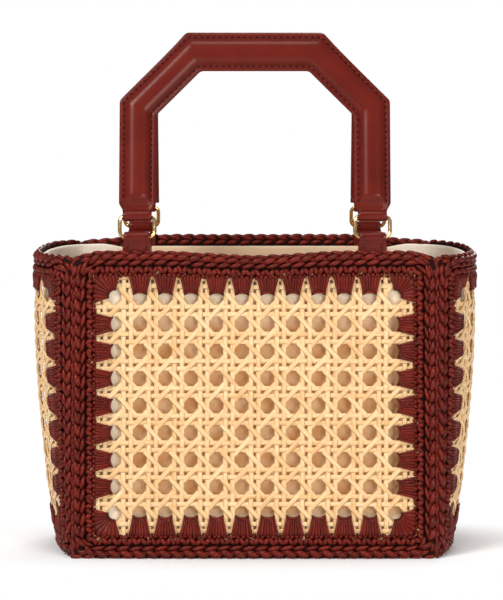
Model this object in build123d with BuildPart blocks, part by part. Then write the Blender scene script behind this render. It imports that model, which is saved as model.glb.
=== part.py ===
"""Small structured tote bag: four cane webbing walls framed in crochet, a cloth lining, and two
octagonal padded leather handles that swing on gold rings.

Millimetres, +Z up, front wall towards -Y. The origin is on the floor under the middle of the bag.
"""

from math import asin, atan2, cos, degrees, hypot, radians, sin, tan
import os

from build123d import *

# Bag body, measured on the outer face of the crochet
rim_height = 153.2
rim_width = 183.0  # between the two ridges of the front wall, at the rim
floor_width = 185.0  # the same, at the floor
rim_depth = 76.7  # between the front and back ridges, at the rim
floor_depth = 88.4
rim_bow = 22.0  # how far an end wall bows out past its ridges, at the rim
floor_bow = 12.0
corner_radius = 9.0  # of the front wall's outline, which makes the notch between two walls
end_corner_radius = 5.5  # of the end wall's, seen along X
end_facets = 26  # flats all round the cone that an end wall bends along, one in its middle

# Crochet
crochet_thickness = 2.6
fan_thickness = 0.8  # the stitches that lie over the face of the cane
row_height = 1.0  # how far a row of stitches stands out
band_width = 11.3  # from a wall's edge to the root of its fans
fan_length = 9.3
fan_root = 11.2
fan_tip = 6.8
fan_overlap = 0.4  # how far joined rows of stitches run into each other
outer_row_width = 4.4
inner_row_start = 6.4
inner_row_width = 4.2
seam_gap = 0.2  # between two walls at their ridge
mitre_turn = 22.0  # of the cut between two walls, from Y

# Cane webbing
cane_thickness = 1.5
cane_lap = 4.0  # how far the cane runs in under the band
cane_clearance = 0.1
hole_pitch_across = 12.85
hole_pitch_up = 13.7
hole_width = 6.5
hole_height = 7.2
hole_corner = 1.9
hole_columns = 12
hole_rows = 9
end_hole_columns = 5
first_row_height = 22.6
pair_width = 5.0  # of two upright strands side by side, between two columns of openings
strand_rise = 0.35
strand_end = 0.3  # from a fan's tip to the strands

# Base and lining
base_thickness = 3.0
base_clearance = 0.4
lining_thickness = 1.0
lining_drop = 3.0  # from the rim down to the lining's folded edge
lining_clearance = 0.2
hem_width = 8.0
hem_thickness = 1.6

# Leather and rings
leather = 1.2
tab_width = 14.3
loop_width = 12.0
tab_depth = 18.0  # below the rim, between crochet and lining
tab_clearance = 0.1
tab_neck = 6.0  # where the tab's two layers meet, below the ring's lower bar
ring_wire = 2.0
round_sides = 12  # flats round the wire's loops, and a sixth as many in a ring's corner
ring_width = 17.5  # on the wire's centre line
ring_height = 10.9
ring_corner = 3.2
ring_clearance = 0.6  # between the wire and the leather looped round it
pivot_above_rim = 8.6

# Handles
handle_rise = 94.8  # from the ring's upper bar to the top of the handle
handle_width = 137.3
handle_bevel = 33.5  # of the octagon's outer corners
strap_width = 18.5
strap_start = 6.8  # where the full width starts, above the ring's upper bar
padding_height = 4.4  # of each face, from the middle of the strap
padding_top_width = 7.6
padding_base_width = 12.4
padding_round = 1.8
glue_line = 0.1  # between the two leathers
handle_gap = 0.4  # between the two handles where they lean together

# Derived places
rise = (floor_depth - rim_depth) / 2
lean = atan2(rise, rim_height)
wall_length = hypot(rise, rim_height)
cane_outer = fan_thickness + cane_clearance
cane_inset = band_width - cane_lap
hole_middle = first_row_height + (hole_rows - 1) / 2 * hole_pitch_up
ring_spacing = handle_width - strap_width  # between the two rings of a handle
end_start = rim_width / 2 - band_width  # where the end walls' solids are cut from, short of the ridges
end_reach = rim_bow + 2 * band_width
loop_inner = ring_wire / 2 + ring_clearance
loop_outer = loop_inner + leather
tab_middle = crochet_thickness + tab_clearance + leather
lining_inset = tab_middle + leather + lining_clearance
pivot_height = rim_height + pivot_above_rim
pivot_out = floor_depth / 2 - rise * pivot_height / rim_height - tab_middle / cos(lean)
reach = ring_height + handle_rise
handle_lean = asin((pivot_out - handle_gap / 2) / hypot(reach, padding_height)) - atan2(
    padding_height, reach
)


def between(floor_value, rim_value, height):
    """A measure of the body at a height, on the straight line from floor to rim."""
    return floor_value + (rim_value - floor_value) * height / rim_height


def wall_plane(side):
    """The outer face of the front (side -1) or back (side 1) wall: X across, Y up the wall."""
    return Plane(
        origin=(0, side * floor_depth / 2, 0),
        x_dir=(-side, 0, 0),
        z_dir=(0, side * cos(lean), sin(lean)),
    )


def leaning_plane(side, along, turn):
    """A plane across the bag, its Y up along a ring or handle that leans in by turn."""
    up = Vector(0, -side * sin(turn), cos(turn))
    origin = Vector(0, side * pivot_out, pivot_height) + up * along
    return Plane(origin=origin, x_dir=(-side, 0, 0), z_dir=(0, side * cos(turn), sin(turn)))


def ridge_plane(side_x, side_y, shift):
    """The mitre between two walls, through their ridge, shifted along its own normal."""
    foot = Vector(side_x * floor_width / 2, side_y * floor_depth / 2, 0)
    top = Vector(side_x * rim_width / 2, side_y * rim_depth / 2, rim_height)
    turn = radians(mitre_turn)
    inward = Vector(-side_x * sin(turn), -side_y * cos(turn), 0)
    normal = (top - foot).cross(inward).normalized()
    if normal.X * side_x < 0:
        normal = normal * -1
    return Plane(origin=foot + normal * shift, x_dir=inward, z_dir=normal)


def octagon():
    """One opening of the webbing."""
    side, top = hole_width / 2, hole_height / 2
    quarter = [(side, top - hole_corner), (side - hole_corner, top)]
    left = [(-x, y) for x, y in reversed(quarter)]
    half = quarter + left
    with BuildSketch() as opening:
        Polygon(*half, *[(-x, -y) for x, y in half], align=None)
    return opening.sketch


def centred(count, pitch, middle=0.0):
    """Evenly spaced places about a middle."""
    return [middle + (i - (count - 1) / 2) * pitch for i in range(count)]


def wall_outline(inset):
    """The front wall's outline in its own plane, drawn in from every edge."""
    foot, top = floor_width / 2 - inset, rim_width / 2 - inset
    with BuildSketch() as outline:
        Polygon(
            (-foot, inset),
            (foot, inset),
            (top, wall_length - inset),
            (-top, wall_length - inset),
            align=None,
        )
        if inset < corner_radius / 2:
            fillet(outline.vertices(), corner_radius - inset)
    return outline.sketch


def wall_frame(outer, inner):
    """What lies between two insets of the wall's outline."""
    with BuildSketch() as frame:
        add(wall_outline(outer))
        add(wall_outline(inner), mode=Mode.SUBTRACT)
    return frame.sketch


def wall_fans():
    """The fans of stitches, each worked into one of the webbing's outermost openings."""
    half_width = (floor_width + rim_width) / 4 - band_width
    places = []
    for across in centred(hole_columns, hole_pitch_across):
        places.append(Location((across, band_width), 0))
        places.append(Location((across, wall_length - band_width), 180))
    for up in centred(hole_rows, hole_pitch_up, hole_middle):
        places.append(Location((-half_width, up), -90))
        places.append(Location((half_width, up), 90))
    with BuildSketch() as fans:
        with Locations(*places):
            Polygon(
                (-fan_root / 2, -fan_overlap),
                (fan_root / 2, -fan_overlap),
                (fan_tip / 2, fan_length),
                (-fan_tip / 2, fan_length),
                align=None,
            )
    return fans.sketch


def wall_border(side):
    """The crochet round the front or back cane: band, fans and two raised rows of stitches."""
    plane = wall_plane(side)
    with BuildPart() as border:
        with BuildSketch(plane):
            add(wall_frame(0, band_width))
        extrude(amount=-crochet_thickness)
        with BuildSketch(plane):
            add(wall_fans())
        extrude(amount=-fan_thickness)
        with BuildSketch(plane):
            add(wall_frame(0, outer_row_width))
            add(wall_frame(inner_row_start, inner_row_start + inner_row_width))
        extrude(amount=row_height)
        with BuildSketch(plane.offset(-fan_thickness)):
            add(wall_outline(cane_inset - cane_clearance))
        extrude(amount=-crochet_thickness, mode=Mode.SUBTRACT)
        for side_x in (-1, 1):
            split(bisect_by=ridge_plane(side_x, side, -seam_gap / 2), keep=Keep.BOTTOM)
    return border.part


def wall_cane(side):
    """The flat webbing of the front or back wall, open inside its outermost ring of openings."""
    face = wall_plane(side).offset(-cane_outer)
    fan_end = band_width + fan_length + strand_end
    with BuildPart() as cane:
        with BuildSketch(face):
            with Locations((0, wall_length / 2)):
                with GridLocations(hole_pitch_across, 1, hole_columns - 1, 1):
                    Rectangle(pair_width, wall_length - 2 * fan_end)
        extrude(amount=strand_rise)
        with BuildSketch(face):
            add(wall_outline(cane_inset))
            with Locations((0, hole_middle)):
                with GridLocations(
                    hole_pitch_across, hole_pitch_up, hole_columns - 2, hole_rows - 2
                ):
                    add(octagon(), mode=Mode.SUBTRACT)
        extrude(amount=-cane_thickness)
    return cane.part


def end_arc(height):
    """The bowed end wall at a height: its middle on X, its radius and half its angle."""
    half_chord = between(floor_depth, rim_depth, height) / 2
    bow = between(floor_bow, rim_bow, height)
    radius = half_chord**2 / (2 * bow) + bow / 2
    middle = between(floor_width, rim_width, height) / 2 + bow - radius
    return middle, radius, asin(half_chord / radius)


def end_across(along, height):
    """Y of a point of the end wall, from its place along the wall's curve."""
    radius = end_arc(height)[1]
    return radius * sin(along / radius)


def end_outline(inset):
    """The end wall's outline seen along X, drawn in along the wall from every edge."""
    points = []
    for height in (inset, rim_height - inset):
        radius, turn = end_arc(height)[1:]
        points.append((end_across(radius * turn - inset, height), height))
    (foot, low), (top, high) = points
    with BuildSketch() as outline:
        Polygon((-foot, low), (foot, low), (top, high), (-top, high), align=None)
        if inset < end_corner_radius / 2:
            fillet(outline.vertices(), end_corner_radius - inset)
    return outline.sketch


def end_frame(outer, inner):
    """What lies between two insets of the end wall's outline."""
    with BuildSketch() as frame:
        add(end_outline(outer))
        add(end_outline(inner), mode=Mode.SUBTRACT)
    return frame.sketch


def end_fans():
    """The fans of an end wall, seen along X."""
    root, tip = fan_root / 2, fan_tip / 2
    with BuildSketch() as fans:
        for along in centred(end_hole_columns, hole_pitch_across):
            for start, step in ((band_width, 1), (rim_height - band_width, -1)):
                base, point = start - step * fan_overlap, start + step * fan_length
                Polygon(
                    (end_across(along - root, base), base),
                    (end_across(along + root, base), base),
                    (end_across(along + tip, point), point),
                    (end_across(along - tip, point), point),
                    align=None,
                )
        for up in centred(hole_rows, hole_pitch_up, hole_middle):
            radius, turn = end_arc(up)[1:]
            base = radius * turn - band_width + fan_overlap
            point = radius * turn - band_width - fan_length
            for step in (-1, 1):
                Polygon(
                    (end_across(step * base, up - root), up - root),
                    (end_across(step * base, up + root), up + root),
                    (end_across(step * point, up + tip), up + tip),
                    (end_across(step * point, up - tip), up - tip),
                    align=None,
                )
    return fans.sketch


def end_cone():
    """The cone that an end wall's outer face lies on: its apex, its axis and half its angle.

    It holds the wall's middle line and, at floor and rim, the two ridges. A ridge point fixes how
    far up the middle line the apex is, so the half angle is the one at which both points agree.
    """
    foot = Vector(floor_width / 2 + floor_bow, 0, 0)
    middle_line = (Vector(rim_width / 2 + rim_bow, 0, rim_height) - foot).normalized()
    tilt = atan2(middle_line.X, middle_line.Z)
    ridges = (
        Vector(floor_width / 2, floor_depth / 2, 0) - foot,
        Vector(rim_width / 2, rim_depth / 2, rim_height) - foot,
    )

    def apex_distance(point, half_angle):
        axis = Vector(sin(tilt + half_angle), 0, cos(tilt + half_angle))
        along, spread = point.dot(axis), cos(half_angle)
        part = along**2 - (spread * point.length) ** 2
        return part / (2 * spread * (along - spread * point.dot(middle_line)))

    low, high = radians(2), radians(60)  # on either side of the half angle
    while high - low > 1e-9:
        half_angle = (low + high) / 2
        if apex_distance(ridges[0], half_angle) > apex_distance(ridges[1], half_angle):
            low = half_angle
        else:
            high = half_angle
    apex = foot + middle_line * apex_distance(ridges[0], half_angle)
    return apex, Vector(-sin(tilt + half_angle), 0, -cos(tilt + half_angle)), half_angle


def end_space(out):
    """All that lies inside the right end wall's face moved out: a many-sided pyramid on its cone."""
    apex, axis, half_angle = end_cone()
    near = (apex.Z - rim_height) * cos(half_angle) / 2
    far = (apex.Z + rim_height) / cos(half_angle)
    with BuildPart() as space:
        with BuildSketch(Plane(origin=apex + axis * far, x_dir=(0, 1, 0), z_dir=axis * -1)):
            RegularPolygon(
                far * tan(half_angle) + out / cos(half_angle), end_facets, major_radius=False
            )
        extrude(amount=far - near, taper=degrees(half_angle))
    return space.part


def end_layer(outer, inner, region):
    """A layer of the right end wall between two offsets of its bowed face, cut to a region."""
    with BuildPart() as layer:
        add(end_space(outer))
        add(end_space(inner), mode=Mode.SUBTRACT)
        with BuildSketch(Plane.YZ.offset(end_start)):
            add(region)
        extrude(amount=end_reach, mode=Mode.INTERSECT)
    return layer.part


def end_border():
    """The crochet of the right end wall, its fans and its raised rows of stitches."""
    with BuildSketch() as front:
        add(end_frame(0, band_width))
        add(end_fans())
    with BuildPart() as border:
        add(end_layer(0, -fan_thickness, front.sketch))
        add(end_layer(-fan_overlap, -crochet_thickness, end_frame(0, cane_inset - cane_clearance)))
        add(end_layer(row_height, -fan_overlap, end_frame(0, outer_row_width)))
        add(
            end_layer(
                row_height,
                -fan_overlap,
                end_frame(inner_row_start, inner_row_start + inner_row_width),
            )
        )
        for side in (-1, 1):
            split(bisect_by=ridge_plane(1, side, seam_gap / 2), keep=Keep.TOP)
    return border.part


def end_strands():
    """The pairs of upright strands of an end wall, seen along X."""
    half = pair_width / 2
    low = band_width + fan_length + strand_end
    high = rim_height - low
    with BuildSketch() as strands:
        for along in centred(end_hole_columns - 1, hole_pitch_across):
            Polygon(
                (end_across(along - half, low), low),
                (end_across(along + half, low), low),
                (end_across(along + half, high), high),
                (end_across(along - half, high), high),
                align=None,
            )
    return strands.sketch


def end_cane():
    """The bowed webbing of the right end wall."""
    openings = []
    for up in centred(hole_rows - 2, hole_pitch_up, hole_middle):
        middle, radius = end_arc(up)[:2]
        for along in centred(end_hole_columns - 2, hole_pitch_across):
            angle = along / radius
            out = Vector(cos(angle), sin(angle), 0)
            origin = Vector(middle, 0, up) + out * radius
            openings.append(Plane(origin=origin, x_dir=(-sin(angle), cos(angle), 0), z_dir=out))
    with BuildPart() as cane:
        add(end_layer(-cane_outer, -cane_outer - cane_thickness, end_outline(cane_inset)))
        add(end_layer(strand_rise - cane_outer, -cane_outer - strand_rise, end_strands()))
        with BuildSketch(*openings):
            add(octagon())
        extrude(amount=-2 * crochet_thickness, mode=Mode.SUBTRACT)
    return cane.part


def inside_space(low, high, inset):
    """The bag's inside between two heights, drawn in from the outer face."""
    drawn_in = inset / cos(lean)
    foot = between(floor_depth, rim_depth, low) / 2 - drawn_in
    top = between(floor_depth, rim_depth, high) / 2 - drawn_in
    with BuildSketch() as section:
        Polygon((-foot, low), (foot, low), (top, high), (-top, high), align=None)
    with BuildPart() as space:
        with BuildSketch(Plane.YZ.offset(end_start)):
            add(section.sketch)
        extrude(amount=end_reach)
        add(end_space(-inset), mode=Mode.INTERSECT)
        mirror(about=Plane.YZ)
        with BuildSketch(Plane.YZ):
            add(section.sketch)
        extrude(amount=end_start, both=True)
    return space.part


def base():
    """The crocheted bottom, held inside the walls."""
    return inside_space(0, base_thickness, crochet_thickness + base_clearance)


def cloth_lining():
    """The open cloth bag inside, its top edge folded into a hem."""
    low = base_thickness + lining_clearance
    high = rim_height - lining_drop
    inner = lining_inset + lining_thickness
    with BuildPart() as cloth:
        add(inside_space(low, high, lining_inset))
        add(
            inside_space(low + lining_thickness, high, lining_inset + hem_thickness),
            mode=Mode.SUBTRACT,
        )
        add(
            inside_space(low + lining_thickness, high - hem_width, inner),
            mode=Mode.SUBTRACT,
        )
    return cloth.part


def tab(side, side_x):
    """A strap of leather folded round the ring's lower bar, both layers going down the wall."""
    wall = leaning_plane(side, 0, lean)
    place = Vector(side_x * ring_spacing / 2, 0, 0)
    length = pivot_above_rim + tab_depth - tab_neck
    flat = radians(360 / round_sides)
    below, beside = side * loop_outer * sin(flat), loop_outer * cos(flat)
    neck = side * (tab_neck + leather)
    with BuildPart() as strap:
        with BuildSketch(wall):
            with Locations((-side * place.X, -tab_neck - length / 2)):
                Rectangle(tab_width, length)
        extrude(amount=leather, both=True)
        with BuildSketch(Plane(origin=wall.origin + place, x_dir=wall.z_dir, z_dir=(1, 0, 0))):
            RegularPolygon(loop_outer, round_sides)
            Polygon(
                (-beside, -below),
                (beside, -below),
                (leather, -neck),
                (-leather, -neck),
                align=None,
            )
            RegularPolygon(loop_inner, round_sides, major_radius=False, mode=Mode.SUBTRACT)
        extrude(amount=loop_width / 2, both=True)
    return strap.part


def ring():
    """A rounded rectangle of wire, standing in its own plane on the middle of its lower bar."""
    across, up = ring_width / 2 - ring_corner, ring_height / 2 - ring_corner
    steps = round_sides // 6
    points = [(0, 0)]
    for quarter, (right, top) in enumerate(((1, -1), (1, 1), (-1, 1), (-1, -1))):
        for step in range(steps + 1):
            angle = radians(90 * (quarter - 1 + step / steps))
            points.append(
                (
                    right * across + ring_corner * cos(angle),
                    ring_height / 2 + top * up + ring_corner * sin(angle),
                )
            )
    with BuildPart() as wire_ring:
        with BuildLine() as path:
            Polyline(*points, close=True)
        with BuildSketch(Plane.YZ):
            RegularPolygon(ring_wire / 2, 8, rotation=22.5)
        sweep(transition=Transition.RIGHT)
    return wire_ring.part


def handle_path(start):
    """The strap's centre line, from one leg's start over the top to the other's."""
    half = ring_spacing / 2
    top = handle_rise - strap_width / 2
    bevel = handle_bevel - (1 - tan(radians(22.5))) * strap_width / 2
    return [
        (-half, start),
        (-half, top - bevel),
        (bevel - half, top),
        (half - bevel, top),
        (half, top - bevel),
        (half, start),
    ]


def swept_strap(side, start, section):
    """A section carried along the handle, mitred at the octagon's corners."""
    plane = leaning_plane(side, ring_height, handle_lean)
    with BuildPart() as strap:
        with BuildLine(plane) as path:
            Polyline(*handle_path(start))
        with BuildSketch(
            Plane(origin=path.wire() @ 0, x_dir=plane.x_dir * -1, z_dir=plane.y_dir)
        ):
            add(section)
        sweep(transition=Transition.RIGHT)
    return strap.part


def cover_section(face):
    """Half the strap's section: flat stitched edges and the raised, rounded middle."""
    half, low = strap_width / 2, glue_line / 2
    top, foot = padding_top_width / 2, padding_base_width / 2
    outline = [
        (half, low),
        (half, leather),
        (foot, leather),
        (top, padding_height),
        (-top, padding_height),
        (-foot, leather),
        (-half, leather),
        (-half, low),
    ]
    with BuildSketch() as section:
        Polygon(*[(across, face * out) for across, out in outline], align=None)
        shoulders = section.vertices().filter_by_position(Axis.X, -top, top)
        fillet(shoulders, padding_round)
    return section.sketch


def core_section(play):
    """The padding's section, which fills the hollow between the two leathers."""
    height = padding_height - leather
    slope = (padding_base_width - padding_top_width) / 2 / height
    top = padding_top_width / 2 - leather * (hypot(1, slope) - slope)
    with BuildSketch() as section:
        Polygon(
            (-top - slope * height, 0),
            (-top, height),
            (top, height),
            (top + slope * height, 0),
            (top, -height),
            (-top, -height),
            align=None,
        )
        if play:
            offset(amount=-play, kind=Kind.INTERSECTION)
    return section.sketch


def handle_shell(side, face):
    """One leather of the handle, outward (face 1) or inward (face -1), over the padding."""
    with BuildPart() as leather_shell:
        add(swept_strap(side, strap_start, cover_section(face)))
        add(swept_strap(side, strap_start + leather, core_section(0)), mode=Mode.SUBTRACT)
    return leather_shell.part


def handle_cover(side):
    """The outward leather, with its two ends folded round the rings' upper bars."""
    plane = leaning_plane(side, ring_height, handle_lean)
    with BuildPart() as cover:
        add(handle_shell(side, 1))
        with BuildSketch(plane):
            with Locations((-ring_spacing / 2, 0), (ring_spacing / 2, 0)):
                Polygon(
                    (-loop_width / 2, loop_inner + leather / 2),
                    (loop_width / 2, loop_inner + leather / 2),
                    (strap_width / 2, strap_start),
                    (-strap_width / 2, strap_start),
                    align=None,
                )
        extrude(amount=leather, both=True)
        for side_x in (-1, 1):
            place = Vector(side_x * ring_spacing / 2, 0, 0)
            bar = Plane(origin=plane.origin + place, x_dir=plane.z_dir, z_dir=(1, 0, 0))
            with BuildSketch(bar):
                RegularPolygon(loop_outer, round_sides)
            extrude(amount=loop_width / 2, both=True)
            with BuildSketch(bar):
                RegularPolygon(loop_inner, round_sides, major_radius=False)
            extrude(amount=strap_width / 2, both=True, mode=Mode.SUBTRACT)
    return cover.part


def handle_core(side):
    """The firm padding inside the handle."""
    return swept_strap(side, strap_start + leather + glue_line, core_section(glue_line))


right_border = end_border()
right_cane = end_cane()
wire_ring = ring()
pieces = {
    "right_border": right_border,
    "left_border": right_border.mirror(Plane.YZ),
    "right_cane": right_cane,
    "left_cane": right_cane.mirror(Plane.YZ),
    "base_panel": base(),
    "lining": cloth_lining(),
}
for side, word in ((-1, "front"), (1, "back")):
    pieces[f"{word}_border"] = wall_border(side)
    pieces[f"{word}_cane"] = wall_cane(side)
    pieces[f"{word}_handle_cover"] = handle_cover(side)
    pieces[f"{word}_handle_backing"] = handle_shell(side, -1)
    pieces[f"{word}_handle_core"] = handle_core(side)
    for side_x, hand in ((-1, "left"), (1, "right")):
        pieces[f"{word}_{hand}_tab"] = tab(side, side_x)
        hung = leaning_plane(side, 0, handle_lean).location
        pieces[f"{word}_{hand}_ring"] = wire_ring.moved(
            hung * Location((-side * side_x * ring_spacing / 2, 0, 0))
        )

os.makedirs("parts", exist_ok=True)
for name, piece in pieces.items():
    piece.label = name
    export_step(piece, f"parts/{name}.step")
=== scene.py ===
"""Looks of a small tote bag: cane webbing edged with crochet, and leather handles on gold rings.

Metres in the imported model's frame, front wall towards -Y, floor at z 0. Sizes below are in
millimetres and become metres where a mesh is made. A wall is first laid out flat, as u across,
v up the wall and w out of it, and is then carried to its place.
"""

import bpy
import numpy as np
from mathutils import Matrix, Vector

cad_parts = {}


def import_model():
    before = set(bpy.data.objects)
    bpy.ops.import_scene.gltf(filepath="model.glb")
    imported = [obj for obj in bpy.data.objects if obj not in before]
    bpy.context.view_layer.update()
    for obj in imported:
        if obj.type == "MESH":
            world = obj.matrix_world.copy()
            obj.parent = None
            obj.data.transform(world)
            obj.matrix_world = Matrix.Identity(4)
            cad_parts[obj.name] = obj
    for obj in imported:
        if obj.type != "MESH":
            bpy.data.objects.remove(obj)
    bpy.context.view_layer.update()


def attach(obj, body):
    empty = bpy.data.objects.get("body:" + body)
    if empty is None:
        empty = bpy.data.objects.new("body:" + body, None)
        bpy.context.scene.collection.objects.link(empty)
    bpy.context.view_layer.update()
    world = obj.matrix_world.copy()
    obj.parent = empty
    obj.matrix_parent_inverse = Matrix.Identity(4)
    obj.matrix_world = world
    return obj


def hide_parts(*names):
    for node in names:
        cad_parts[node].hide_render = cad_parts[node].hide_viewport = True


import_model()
MM = 0.001
rng = np.random.default_rng(7)

# Bag body, on the outer face of the crochet
RIM_HEIGHT, RIM_WIDTH, FLOOR_WIDTH = 153.2, 183.0, 185.0
RIM_DEPTH, FLOOR_DEPTH = 76.7, 88.4
RIM_BOW, FLOOR_BOW = 22.0, 12.0
BELLY = 3.0  # how far the ends swell out past that shape
RISE = (FLOOR_DEPTH - RIM_DEPTH) / 2
LEAN = np.arctan2(RISE, RIM_HEIGHT)
WALL_LENGTH = np.hypot(RISE, RIM_HEIGHT)
FLOOR_GAP = 0.06  # least height of any point of a wall

# How far the rim is moved off its level line
RIM_REACH = 26  # nothing is moved this far below the rim
TAB_PULL, FRONT_SAG, RIDGE_DIP = 2.0, 2.2, 2.6
BACK_RISE, BACK_DROP, END_CREST = 4.2, 2.8, 0.9

# Cane webbing
PITCH_ACROSS, PITCH_UP = 12.85, 13.7
HOLE_ROWS, FIRST_ROW = 9, 22.6
MIDDLE_ROW = FIRST_ROW + (HOLE_ROWS - 1) / 2 * PITCH_UP
TOP_ROW = FIRST_ROW + (HOLE_ROWS - 1) * PITCH_UP
PAIR_HALF = 1.83  # from the middle of a pair of strands to each of them
STRAND_WIDTH, STRAND_THICK = 2.45, 0.5
WEAVE_DEPTH, SLANT_DEPTH = 0.28, 0.5
CANE_MIDDLE = -1.3  # of the webbing's thickness, below the crochet's face
STRAND_STEP, SLANT_STATIONS = 1.1, 100

# Crochet, from the wall's edge inwards
STITCH = 6.3
EDGE_ROW, OUTER_ROW, INNER_ROW, KNOT_ROW = 1.0, 2.7, 5.5, 8.9
EDGE_TURN, OUTER_TURN, INNER_TURN, KNOT_TURN = 2.6, 15.0, 13.5, 12.0
KNOT_PITCH = 2.45
BAND = 11.2  # where the fans start
FAN_ROOT, FAN_TIP, FAN_LOOPS = 11.6, 6.8, 7
FAN_COVER = 0.4  # from an opening's middle out to the end of its fan
CORNER_LOOPS, CORNER_PITCH = 10, np.radians(12)
CORNER_TIP = 2.7  # from a corner opening's middle to the ends of its loops

# Lining
LINING_OUTER = 18  # rings of points on its outside
LINING_FLOOR, LINING_INSET, HEM = 3.4, 5.0, 8.0
LINING_PRESS = 1.6  # how far it lies out to the cane beside the middle of the walls
LINING_RAISE = 3.6  # how far its rim is raised at the bag's ends

# Leather, rings and handles
LEATHER = 1.2
TAB_WIDTH, TAB_LOOP, HANDLE_LOOP, TAB_DEPTH, TAB_NECK = 14.6, 13.2, 14.6, 18.0, 3.8
RING_WIRE, RING_WIDTH, RING_HEIGHT, RING_CORNER = 2.0, 17.5, 10.9, 3.2
LOOP_RADIUS = RING_WIRE / 2 + 0.6 + LEATHER / 2
HANDLE_RISE, HANDLE_WIDTH, HANDLE_BEVEL, STRAP_WIDTH = 94.8, 136.6, 33.3, 18.5
STRAP_START, PADDING_HEIGHT = 6.8, 4.4
RING_SPACING = HANDLE_WIDTH - STRAP_WIDTH
TAB_MIDDLE = 3.9
PIVOT_HEIGHT = RIM_HEIGHT + 8.6
PIVOT_OUT = FLOOR_DEPTH / 2 - RISE * PIVOT_HEIGHT / RIM_HEIGHT - TAB_MIDDLE / np.cos(LEAN)
REACH = RING_HEIGHT + HANDLE_RISE
HANDLE_LEAN = np.arcsin((PIVOT_OUT - 0.2) / np.hypot(REACH, PADDING_HEIGHT)) - np.arctan2(
    PADDING_HEIGHT, REACH
)
THREAD_PITCH, THREAD_INSET = 3.1, 2.2
TAB_THREAD_PITCH, TAB_THREAD_INSET = 1.9, 2.7


def smooth(t):
    """3t^2 - 2t^3, held at 0 and 1 outside them."""
    t = np.clip(t, 0, 1)
    return t * t * (3 - 2 * t)


def stack(*parts):
    """The parts as one array of points, each spread to the shape of all."""
    return np.stack(np.broadcast_arrays(*parts), -1)


# Meshes


def ring_quads(count, stations, sides, closed=False):
    """Faces of tubes: each ring of points is joined to the next, and the end rings are capped.

    A cap pairs point k with point sides - 1 - k. A closed tube joins its last ring to its first.
    """
    i = np.arange(stations if closed else stations - 1)[:, None]
    j = np.arange(sides)[None]
    here, there = i * sides, (i + 1) % stations * sides
    following = (j + 1) % sides
    one = np.stack([here + j, here + following, there + following, there + j], -1).reshape(-1, 4)
    if not closed:
        k = np.arange(sides // 2 - 1)
        cap = np.stack([k, k + 1, sides - 2 - k, sides - 1 - k], -1)
        one = np.concatenate([one, cap[:, ::-1], cap + (stations - 1) * sides])
    return (one[None] + np.arange(count)[:, None, None] * stations * sides).reshape(-1, 4)


def outward(points, quads):
    """The faces turned so that the signed volume they enclose is positive."""
    a, b, c, d = (points[quads[:, i]] for i in range(4))
    volume = (a * (np.cross(b, c) + np.cross(c, d))).sum()
    return quads if volume > 0 else quads[:, ::-1]


class Batch:
    """Surfaces collected for one piece, with a vector for the material on each point."""

    def __init__(self):
        self.points, self.quads, self.marks, self.total = [], [], [], 0

    def add(self, points, marks, closed=False):
        """Adds tubes: points and marks are (tubes, stations, sides, 3)."""
        count, stations, sides = points.shape[:3]
        flat = points.reshape(-1, 3)
        quads = outward(flat, ring_quads(count, stations, sides, closed))
        self.points.append(flat)
        self.marks.append(np.broadcast_to(marks, points.shape).reshape(-1, 3))
        self.quads.append(quads + self.total)
        self.total += len(flat)

    def piece(self, name, body, slot, material, replaces=()):
        """One Blender object of all that was collected, riding on a body."""
        points = np.concatenate(self.points) * MM
        quads = np.concatenate(self.quads)
        mesh = bpy.data.meshes.new(name)
        mesh.vertices.add(len(points))
        mesh.vertices.foreach_set("co", points.ravel())
        mesh.loops.add(quads.size)
        mesh.loops.foreach_set("vertex_index", quads.ravel())
        mesh.polygons.add(len(quads))
        mesh.polygons.foreach_set("loop_start", np.arange(0, quads.size, 4))
        mesh.polygons.foreach_set("use_smooth", np.ones(len(quads), bool))
        mark = mesh.attributes.new("mark", "FLOAT_VECTOR", "POINT")
        mark.data.foreach_set("vector", np.concatenate(self.marks).ravel())
        mesh.update(calc_edges=True)
        mesh.validate()
        obj = bpy.data.objects.new(name, mesh)
        bpy.context.scene.collection.objects.link(obj)
        mesh.materials.append(material)
        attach(obj, body)
        if replaces:
            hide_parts(*replaces)
        return obj


def oval(sides, start=0.0):
    """Points evenly round a unit circle."""
    angle = (np.arange(sides) + start) * 2 * np.pi / sides
    return np.stack([np.cos(angle), np.sin(angle)], -1)


def oblong(blunt_across, blunt_up):
    """Sixteen points round a rounded oblong from -1 to 1 each way.

    They are sign(cos a) |cos a|^blunt_across and the same of sin a: small powers give flat faces.
    """
    angle = (np.arange(16) + 0.5) * 2 * np.pi / 16
    across = np.sign(np.cos(angle)) * np.abs(np.cos(angle)) ** blunt_across
    return across, np.sign(np.sin(angle)) * np.abs(np.sin(angle)) ** blunt_up


# Walls


def leaning(side, across, up, out, turn, base_out, base_up):
    """A point of a plane that stands across the bag and leans in by turn from its base line."""
    y = side * (base_out - up * np.sin(turn) + out * np.cos(turn))
    return stack(-side * across, y, base_up + up * np.cos(turn) + out * np.sin(turn))


def standing(points):
    """The points, with any that would sink into the floor pressed flat on it."""
    return stack(points[..., 0], points[..., 1], np.maximum(points[..., 2], FLOOR_GAP))


class FlatWall:
    """The front (side -1) or back (side 1) wall.

    foot, top and half are half its width at the floor, at the rim and on average, height is its
    way up, and columns counts the cane's openings across it.
    """

    foot, top, height = FLOOR_WIDTH / 2, RIM_WIDTH / 2, WALL_LENGTH
    half = (foot + top) / 2
    columns = 12

    def __init__(self, side):
        self.side = side

    def carry(self, flat):
        """The plane through floor and rim: y = side * (depth / 2 - v sin + w cos)."""
        u, v, w = np.moveaxis(flat, -1, 0)
        v = v + rim_lift(u, self.side * RIM_DEPTH / 2, self.height - v)
        return standing(leaning(self.side, u, v, w, LEAN, FLOOR_DEPTH / 2, 0))


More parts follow.
